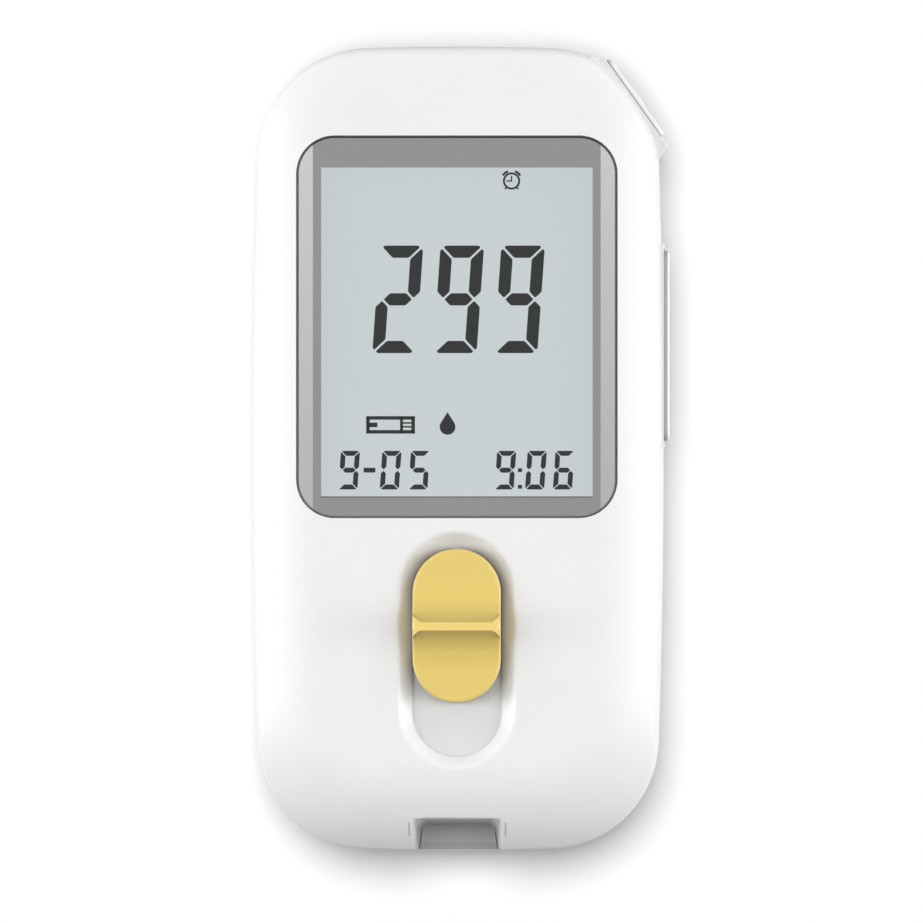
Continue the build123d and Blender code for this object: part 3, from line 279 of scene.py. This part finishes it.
def polariser():
    """Grey face of the display: the film behind it sparkles faintly, and a painted glow evens out
    the shade near its edges.
    """
    material, shader, place = new_finish("polariser")
    sparkle = place.noise(film_sparkle, detail=1.0)
    place.feed(shader, {"Base Color": sparkle.colours(rgb(117, 123, 125), rgb(121, 127, 129)),
                        "Roughness": 0.3 + 0.1 * sparkle, "Specular IOR Level": 0.1,
                        # Painted glow: the emission stands in for light and fills the shade that
                        # the frame casts near the edges.
                        "Emission Color": sparkle.colours(rgb(165, 171, 173), rgb(168, 175, 177)),
                        "Emission Strength": 1.0})
    return material


def layered_rubber():
    """Silicone in thin layers across the strip, clear and carbon-black by turns."""
    material, shader, place = new_finish("layered_rubber")
    along = place.axes()[0] / (2 * rubber_layer)
    black = abs(along.math("WRAP", along, 0.5, -0.5)) < 0.25
    place.feed(shader, {"Base Color": black.colours(rgb(214, 150, 148), rgb(26, 26, 28)),
                        "Roughness": 0.6 + 0.1 * place.noise(0.3 * mm)})
    return material


coat(polariser(), "lcd_glass")
coat(bare_metal("silvered_film", rgb(206, 210, 210), 0.3, grain=0.05 * mm), "lcd_reflector")
coat(moulded("frame_plastic", rgb(224, 224, 220), 0.5), "lcd_frame")
coat(layered_rubber(), "zebra_strip")


# ---------------------------------------------------------------- display segments
# The liquid crystal turns dark between electrodes in the shape of the segments: three large
# digits, a date, a time and small signs for the test strip, the drop and the alarm.
segment_lean = tan(radians(4.0))
segment_depth = 0.02 * mm
lit_segments = {"0": "abcdef", "2": "abdeg", "5": "acdfg", "6": "acdefg", "9": "abcdfg"}
large_digits = dict(width=5.42 * mm, height=13.37 * mm, stroke=1.52 * mm, gap=0.19 * mm)
small_digits = dict(width=2.38 * mm, height=4.8 * mm, stroke=0.62 * mm, gap=0.08 * mm)
reading_x = 0.17 * mm
reading_y = 18.56 * mm
reading_pitch = 7.56 * mm
clock_y = -2.68 * mm
date_x = (("9", -13.44 * mm), ("0", -8.28 * mm), ("5", -4.73 * mm))
time_x = (("9", 5.99 * mm), ("0", 9.79 * mm), ("6", 13.25 * mm))
corner_cut = 0.4
corner_rounding = 0.1
dash_x = -10.91 * mm
dash_size = (1.49 * mm, 0.6 * mm)
colon_x = 7.81 * mm
colon_drop = 2.07 * mm
colon_size = (0.52 * mm, 0.48 * mm)
strip_x = -8.29 * mm
strip_y = 2.95 * mm
drop_x = -1.2 * mm
drop_y = 2.7 * mm
alarm_x = 6.76 * mm
alarm_y = 33.28 * mm


def polygon(mesh, points, rounding=0.0):
    """Add a flat shape with slightly rounded corners."""
    corners = [mesh.verts.new((x, y, 0)) for x, y in points]
    mesh.faces.new(corners)
    if rounding:
        bmesh.ops.bevel(mesh, geom=corners, offset=rounding, segments=2, profile=0.5,
                        affect="VERTICES", material=-1)


def bar(mesh, x, y, width, height, rounding=0.0):
    """Add a flat rectangle around a centre."""
    polygon(mesh, [(x - width / 2, y - height / 2), (x + width / 2, y - height / 2),
                   (x + width / 2, y + height / 2), (x - width / 2, y + height / 2)], rounding)


def arc(mesh, x, y, radius, width, start, sweep):
    """Add a flat arc: a short edge spun about its centre."""
    ends = [mesh.verts.new((x + r * cos(start), y + r * sin(start), 0))
            for r in (radius - width / 2, radius + width / 2)]
    edge = mesh.edges.new(ends)
    bmesh.ops.spin(mesh, geom=ends + [edge], cent=(x, y, 0), axis=(0, 0, 1), angle=sweep,
                   steps=max(4, round(sweep * 8)), use_merge=sweep >= 2 * pi)


def digit(mesh, number, x, y, width, height, stroke, gap):
    """Add the lit segments of one leaning digit: cut outer corners and gaps along the mitres."""
    half, rise = width / 2, height / 2
    cut = corner_cut * stroke
    near, far = (cut - gap) / 2, (cut + gap) / 2
    end = [(-half + far, rise - near), (-half + cut, rise), (half - cut, rise),
           (half - far, rise - near), (half - stroke - gap, rise - stroke),
           (-half + stroke + gap, rise - stroke)]
    side = [(-half, rise - cut), (-half + near, rise - far),
            (-half + stroke, rise - stroke - gap), (-half + stroke, stroke / 2 + gap),
            (-half + stroke / 2, gap), (-half, stroke / 2 + gap)]
    right = [(half - stroke / 2 - gap, 0), (half - stroke - gap, stroke / 2)]
    middle = right + [(-px, py) for px, py in reversed(right)] + [(-right[1][0], -stroke / 2),
                                                                 (right[1][0], -stroke / 2)]
    shapes = {"a": (end, 1, 1), "b": (side, -1, 1), "c": (side, -1, -1), "d": (end, 1, -1),
              "e": (side, 1, -1), "f": (side, 1, 1), "g": (middle, 1, 1)}
    for segment in lit_segments[number]:
        points, flip_x, flip_y = shapes[segment]
        polygon(mesh, [(x + flip_x * px + segment_lean * flip_y * py, y + flip_y * py)
                       for px, py in points], rounding=corner_rounding * stroke)


def strip_sign(mesh, x, y, width=6.07 * mm, height=2.17 * mm, stroke=0.44 * mm):
    """Add the sign for a test strip: a box with its sample end and its contact end."""
    for side in (-1, 1):
        bar(mesh, x, y + side * (height - stroke) / 2, width, stroke)
        bar(mesh, x + side * (width - stroke) / 2, y, stroke, height)
    bar(mesh, x - 0.37 * width, y, 0.2 * width, 0.58 * mm)
    bar(mesh, x + 0.225 * width, y, 0.36 * mm, height)
    for side in (-1, 1):
        bar(mesh, x + 0.33 * width, y + side * 0.24 * mm, 0.22 * width, 0.2 * mm)


def drop_sign(mesh, x, y, radius=0.98 * mm, tip=1.84 * mm):
    """Add the sign for a drop: a circle drawn up to a point along its tangents."""
    touch = acos(radius / tip)
    steps = 24
    turns = [touch + (2 * pi - 2 * touch) * step / steps for step in range(steps + 1)]
    polygon(mesh, [(x, y + tip)] + [(x - radius * sin(turn), y + radius * cos(turn))
                                    for turn in turns])


def alarm_sign(mesh, x, y, radius=0.95 * mm, stroke=0.25 * mm, hand=0.72 * mm):
    """Add the sign for an alarm: a clock face at nine, with two bells and two feet."""
    arc(mesh, x, y, radius, stroke, 0, 2 * pi)
    hand_width, from_centre = 0.16 * mm, 0.28 * mm
    bar(mesh, x, y + from_centre, hand_width, hand)
    bar(mesh, x - from_centre, y, hand, hand_width)
    for radius, width, turns, sweep in ((1.27 * mm, 0.28 * mm, (51, 129), 38),
                                        (1.16 * mm, 0.3 * mm, (231, 309), 10)):
        for turn in turns:
            arc(mesh, x, y, radius, width, radians(turn) - radians(sweep / 2), radians(sweep))


def put(name, data):
    """Put a new object with this data in the scene."""
    fresh = bpy.data.objects.new(name, data)
    bpy.context.scene.collection.objects.link(fresh)
    return fresh


def finished_mesh(name, mesh, material):
    """The data of a mesh that is done, in one material."""
    data = bpy.data.meshes.new(name)
    mesh.to_mesh(data)
    mesh.free()
    data.materials.append(material)
    return data


def dress(name, mesh, material, body="case"):
    """Make a finished mesh a piece that rides on a body."""
    bmesh.ops.recalc_face_normals(mesh, faces=mesh.faces[:])
    piece = put(name, finished_mesh(name, mesh, material))
    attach(piece, body)
    return piece


def liquid_crystal():
    """The dark state of the display, a very dark grey that is not quite even."""
    material, shader, place = new_finish("liquid_crystal")
    cloudy = place.noise(1.5 * mm)
    place.feed(shader, {"Base Color": cloudy.colours(rgb(10, 12, 13), rgb(22, 24, 25)),
                        "Roughness": 0.35, "Specular IOR Level": 0.1})
    return material


segments = bmesh.new()
for place_index, number in enumerate("299"):
    digit(segments, number, reading_x + (place_index - 1) * reading_pitch, reading_y,
          **large_digits)
for number, x in date_x + time_x:
    digit(segments, number, x, clock_y, **small_digits)
bar(segments, dash_x, clock_y, *dash_size, rounding=0.15 * mm)
for y in (clock_y, clock_y - colon_drop):
    bar(segments, colon_x, y, *colon_size)
strip_sign(segments, strip_x, strip_y)
drop_sign(segments, drop_x, drop_y)
alarm_sign(segments, alarm_x, alarm_y)
bmesh.ops.translate(segments, verts=segments.verts[:],
                    vec=(0, 0, glass_high.z - segment_depth / 2))
raised = bmesh.ops.extrude_face_region(segments, geom=segments.faces[:])["geom"]
raised = [part for part in raised if isinstance(part, bmesh.types.BMVert)]
bmesh.ops.translate(segments, verts=raised, vec=(0, 0, segment_depth))
dress("display_segments", segments, liquid_crystal())


# ---------------------------------------------------------------- strip port
# A grey insert leads the test strip through the lower end into the connector.
port_low, port_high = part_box("strip_guide")


def port_plastic():
    """Grey plastic with a fine tool grain, with painted shade that is darkest deep inside and
    pales towards the mouth.
    """
    material, shader, place = new_finish("port_plastic")
    # Painted shade: darker deep inside the port, paler towards the mouth.
    painted_shade_mix = (port_high.y - place.axes()[1]) / (port_high.y - port_low.y)
    colour = painted_shade_mix.colours(rgb(157, 158, 158), rgb(193, 193, 193))
    mould_surface(shader, place, place.noise(broad_patch), colour, 0.45)
    return material


coat(port_plastic(), "strip_guide")


# ---------------------------------------------------------------- ejector
# A yellow slider button with a cross ridge, screwed to a carriage under the front cover. The
# carriage's finger pushes the strip out, and two wire springs push the button back.
button_low, button_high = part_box("ejector_button")
ridge_height = 2.4 * mm
button_top = button_high.z - ridge_height
pocket_floor = 19.0 * mm
side_wall = 0.11 * mm
crest_depth = 0.08 * mm
crest_half = 0.42 * mm
crest_end = 4.6 * mm
ridge_y = (button_low.y + button_high.y) / 2
ridge_half = 0.45 * mm
hollow_reach = 2.8 * mm


def yellow_plastic():
    """Yellow plastic with a fine tool grain. Painted shade darkens the hollows beside the ridge,
    a painted highlight lightens its top, and painted shade darkens the side walls low down."""
    material, shader, place = new_finish("yellow_plastic")
    x, y, z = place.axes()
    broad = place.noise(broad_patch)
    colour = broad.colours(rgb(226, 199, 110), rgb(231, 204, 113))
    # Painted shade in the hollows beside the ridge, fading with distance from it.
    for away, painted_shade in ((ridge_y - y, rgb(183, 162, 90)), (y - ridge_y, rgb(200, 176, 98))):
        shade_fade = (1 - (away - ridge_half) / hollow_reach).at_least(0.0)
        colour = (shade_fade * (away > ridge_half)).colours(colour, painted_shade)
    # Painted highlight along the crest of the ridge.
    crest_zone = (y < ridge_y + crest_half).at_least(abs(x) > crest_end)
    crest_highlight = (z > button_high.z - crest_depth) * crest_zone
    colour = crest_highlight.colours(colour, rgb(240, 212, 120))
    # Painted shade on the side walls, darkest down at the pocket floor.
    straight = button_high.y - ridge_y - button_high.x
    beyond = (abs(y - ridge_y) - straight).at_least(0.0)
    wall = x.distance(beyond) > button_high.x - side_wall
    height = ((z - pocket_floor) / (button_top - pocket_floor)).at_least(0.0).at_most(1.0)
    wall_shade = height.colours(rgb(108, 102, 94), rgb(206, 188, 132))
    mould_surface(shader, place, broad, wall.colours(colour, wall_shade), 0.36)
    return material


coat(yellow_plastic(), "ejector_button")
coat(moulded("acetal", rgb(232, 232, 226), 0.42), "ejector_carriage")
coat(bare_metal("spring_wire", rgb(190, 191, 194), 0.2, grain=0.05 * mm), "ejector_springs")
coat(bare_metal("zinc_plate", rgb(178, 180, 184), 0.28), "ejector_screw", "board_screws",
     "case_screws")


def yielding(name, node):
    """A piece in a node's shape that stands for it, while the node itself is hidden."""
    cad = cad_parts[node]
    piece = put(name, cad.data.copy())
    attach(piece, "case")
    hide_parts(node)
    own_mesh(piece)


yielding("return_springs", "ejector_springs")


# ---------------------------------------------------------------- keys
# Both keys are moulded in the white of the case, with a grey line of painted shade where they
# # stand in it. The side key presses two silicone domes, and the corner key a switch.
corner_turn = radians(35.6)
corner_root = 43.26 * mm
side_root = 26.12 * mm
case_white = rgb(240, 240, 240)
case_shade = rgb(236, 236, 236)


def key_plastic(name, turn, root, root_shade):
    """White plastic, with painted shade where it is nearer than its root along a direction."""
    material, shader, place = new_finish(name)
    x, y = place.axes()[:2]
    # Painted shade: grey where the key stands down in the case.
    shaded_root = x * cos(turn) + y * sin(turn) < root
    broad = place.noise(broad_patch)
    white = broad.colours(case_shade, case_white)
    mould_surface(shader, place, broad, shaded_root.colours(white, root_shade), 0.34)
    return material


def silicone():
    """Soft matt silicone, slightly milky."""
    material, shader, place = new_finish("silicone")
    milky = place.noise(2 * mm).colours(rgb(168, 170, 172), rgb(182, 184, 186))
    place.feed(shader, {"Base Color": milky,
                        "Roughness": 0.62 + 0.1 * place.noise(0.4 * mm),
                        "Normal": place.noise(0.15 * mm).bump(tool_relief),
                        "Subsurface Weight": 0.15, "Subsurface Scale": 1 * mm})
    return material


coat(key_plastic("corner_key_plastic", corner_turn, corner_root, rgb(166, 166, 166)),
     "corner_key")
coat(key_plastic("side_key_plastic", 0.0, side_root, rgb(176, 176, 176)), "side_key")
coat(silicone(), "side_key_pad")
yielding("dome_pad", "side_key_pad")


# ---------------------------------------------------------------- front and rear covers
# Two white shells of moulded plastic that four screws hold together from the back, and a
# # sliding door over the batteries. The floor of the slider's pocket is rougher and greyed by
# # painted shade, and the notch where the strips go in is greyed by painted shade.
pocket_half = 5.62 * mm
pocket_skin = 0.05 * mm
notch_inner = -45.85 * mm
notch_half = 5.55 * mm
notch_edge = 0.4 * mm


def front_plastic():
    """The white of the case, rougher and greyed by painted shade on the floor of the slider's
    pocket, and grey with painted shade in the notch.
    """
    material, shader, place = new_finish("front_plastic")
    x, y, z = place.axes()
    broad = place.noise(broad_patch)
    # Painted shade, and a rougher finish, on the floor of the slider's pocket.
    painted_shade_mix = (abs(x) < pocket_half) * (abs(z - pocket_floor) < pocket_skin)
    # Painted shade in the notch, fading out towards its edges.
    within = ((notch_half - abs(x)) / notch_edge).at_least(0.0).at_most(1.0)
    notch_shade = (y < notch_inner) * within
    white = notch_shade.colours(broad.colours(case_shade, case_white), rgb(180, 180, 180))
    colour = painted_shade_mix.colours(white, rgb(230, 230, 230))
    mould_surface(shader, place, broad, colour, 0.34 + 0.16 * painted_shade_mix)
    return material


coat(front_plastic(), "front_cover")
coat(moulded("white_plastic", case_white, 0.34, shift=0.015), "rear_cover", "battery_door")


# ---------------------------------------------------------------- window
# A clear acrylic plate, printed grey around the view, lies in the recess of the front cover
# on a black adhesive frame. Its long sides are cut to a slope.
window_low, window_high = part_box("display_window")
window_corner = 4.6 * mm
facet_width = 1.9 * mm
rim_width = 0.14 * mm
shade_line = 0.12 * mm
acrylic_ior = 1.49
window_middle = (window_low.y + window_high.y) / 2


def window_acrylic():
    """Print under gloss outside the view, with painted sheen and shade on it, and inside it clear
    acrylic that only reflects.
    """
    material, shader, place = new_finish("window_acrylic")
    x, y, z = place.axes()
    in_view = (abs(x) < view_half) * (y > view_bottom) * (y < view_top)
    reach_x = abs(x) - (window_high.x - window_corner)
    reach_y = abs(y - window_middle) - ((window_high.y - window_low.y) / 2 - window_corner)
    from_corner = reach_x.at_least(0.0).distance(reach_y.at_least(0.0))
    rim = from_corner > window_corner - rim_width
    facet = abs(x) > window_high.x - facet_width
    # Painted shadow: a thin dark line along the lower edge of the view.
    line = (abs(x) < view_half) * (abs(y - view_bottom) < shade_line)
    # Painted reflection: the sloped facets are lighter than the print, and lighter towards the
    # top.
    rise = (y - window_low.y) / (window_high.y - window_low.y)
    facet_sheen = rise.colours(rgb(159, 158, 159), rgb(185, 185, 185))
    colour = facet.colours(rgb(140, 141, 141), facet_sheen)
    colour = line.colours(colour, rgb(50, 54, 54))
    # Painted shade: the rim of the plate is dark where it meets the recess, darkest at the top
    # and lighter towards the bottom edge.
    low_edge = ((y - window_low.y) / window_corner).at_most(1.0)
    colour = rim.colours(colour, low_edge.colours(rgb(122, 122, 123), rgb(28, 28, 29)))
    place.feed(shader, {"Base Color": colour, "Roughness": 0.12 + 0.05 * place.noise(6 * mm)})
    face = z > (window_low.z + window_high.z) / 2
    inside = place.add("ShaderNodeNewGeometry", {}, output="Backfacing")
    gloss = face * (1 - inside) * place.add("ShaderNodeFresnel", {"IOR": acrylic_ior})
    clear = place.add("ShaderNodeMixShader", {
        0: gloss, 1: place.add("ShaderNodeBsdfTransparent", {}),
        2: place.add("ShaderNodeBsdfGlossy", {"Roughness": 0.04})})
    printed = Shade(place.tree, shader.outputs[0])
    lit_through = place.add("ShaderNodeLightPath", {}, output="Is Shadow Ray")
    whole = place.add("ShaderNodeMixShader", {0: in_view.at_least(lit_through),
                                              1: printed, 2: clear})
    place.feed(place.tree.nodes["Material Output"], {"Surface": whole})
    return material


coat(window_acrylic(), "display_window")
coat(moulded("black_adhesive", rgb(92, 92, 93), 0.6), "window_adhesive")


# ---------------------------------------------------------------- batteries
# Two size AAA cells lie head to tail in steel contacts. Each has a nickel-plated can in a
# plain two-colour jacket, with the coloured band at the end of its nub.
cap_length = 1.6 * mm
band_length = 11.0 * mm
flat_end = 0.5 * mm


def cell_jacket(cell, nub_side):
    """Printed film shrunk over the can, leaving both metal ends bare."""
    low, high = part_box(cell)
    material, shader, place = new_finish(cell + "_jacket")
    y = place.axes()[1]
    from_nub = (high.y - y) if nub_side > 0 else (y - low.y)
    bare = 1 - (from_nub > cap_length) * (from_nub < high.y - low.y - flat_end)
    band = from_nub < band_length
    film = band.colours(rgb(52, 58, 66), rgb(196, 132, 74))
    place.feed(shader, {"Base Color": bare.colours(film, rgb(198, 198, 196)), "Metallic": bare,
                        "Roughness": 0.3 + 0.08 * place.noise(3 * mm)})
    return material


coat(cell_jacket("battery_cell_left", 1), "battery_cell_left")
coat(cell_jacket("battery_cell_right", -1), "battery_cell_right")
coat(bare_metal("nickel_plate", rgb(204, 203, 198), 0.24), "battery_springs",
     "battery_terminals", "battery_link")


# ---------------------------------------------------------------- studio
# A floor that shows white under a soft lamp of its own, which gives the shadow. Softboxes stand
# low on both sides with a few higher ones, so that the rolled edges and the pocket show. The
# camera looks straight down and leans very slightly to the key side.
floor_drop = 0.05 * mm
floor_bounce = 0.15
floor_reach = 1.5
camera_lean = radians(1.3)
camera_distance = 0.6
camera_width = 0.114775
aim = Vector((0.112 * mm, -1.604 * mm, 0))
softbox_size = 0.5
softbox_distance = 1.2
softboxes = (("low_right", 0, 77, 7.4), ("low_left", 180, 77, 7.2),
             ("low_upper_right", 45, 72, 2.2), ("low_upper_left", 135, 72, 2.5),
             ("raised_right", 0, 48, 3.3), ("raised_left", 180, 48, 3.3),
             ("high_right", 0, 26, 1.5), ("high_left", 180, 26, 1.8))
fill_strength = 0.2
floor_key_lean = (radians(-6.3), radians(-3.2))
floor_key_softness = radians(34)
floor_key_strength = 0.8 * pi


def shown_rays(place):
    """1 for rays that show the studio, directly or in gloss and glass, and 0 for all others."""
    paths = [place.add("ShaderNodeLightPath", {}, output=path)
             for path in ("Is Camera Ray", "Is Glossy Ray", "Is Transmission Ray")]
    shown = paths[0] + paths[1] + paths[2]
    return shown.at_most(1.0)


def plain_floor():
    """Sheet that shows white but reflects little light, so that its shadow isn't filled in."""
    material, shader, place = new_finish("studio_floor")
    white = shown_rays(place).colours((*[floor_bounce] * 3, 1), (1, 1, 1, 1))
    place.feed(shader, {"Base Color": white, "Roughness": 1.0, "Specular IOR Level": 0.0})
    return material


sheet = bmesh.new()
bmesh.ops.create_grid(sheet, x_segments=1, y_segments=1, size=floor_reach,
                      matrix=Matrix.Translation((0, 0, -floor_drop)))
floor = put("studio_floor", finished_mesh("studio_floor", sheet, plain_floor()))


def receivers(name, state):
    """A lamp's list that names only the floor, to include it or to leave it out."""
    listed = bpy.data.collections.new(name)
    listed.objects.link(floor)
    listed.collection_objects[0].light_linking.link_state = state
    return listed


off_floor = receivers("off_floor", "EXCLUDE")
for name, turn, lean, power in softboxes:
    lamp = bpy.data.lights.new(name, "AREA")
    lamp.size = softbox_size
    lamp.energy = power
    softbox = put(name, lamp)
    softbox.matrix_world = (Matrix.Rotation(radians(turn), 4, "Z")
                            @ Matrix.Rotation(radians(lean), 4, "Y")
                            @ Matrix.Translation((0, 0, softbox_distance)))
    softbox.visible_camera = False
    softbox.light_linking.receiver_collection = off_floor

sun = bpy.data.lights.new("floor_key", "SUN")
sun.energy = floor_key_strength
sun.angle = floor_key_softness
floor_key = put("floor_key", sun)
floor_key.matrix_world = (Matrix.Rotation(floor_key_lean[0], 4, "X")
                          @ Matrix.Rotation(floor_key_lean[1], 4, "Y"))
floor_key.light_linking.receiver_collection = receivers("on_floor", "INCLUDE")

world = bpy.data.worlds.new("studio")
world.use_nodes = True
bpy.context.scene.world = world
sky = Shade(world.node_tree)
strength = fill_strength + (1 - fill_strength) * shown_rays(sky)
sky.feed(world.node_tree.nodes["Background"], {"Color": (1, 1, 1, 1), "Strength": strength})

lens = bpy.data.cameras.new("camera")
lens.type = "ORTHO"
lens.ortho_scale = camera_width
camera = put("camera", lens)
camera.rotation_euler = (0, camera_lean, 0)
camera.location = aim + camera_distance * Vector((sin(camera_lean), 0, cos(camera_lean)))
bpy.context.scene.camera = camera
bpy.context.scene.view_settings.view_transform = "Standard"
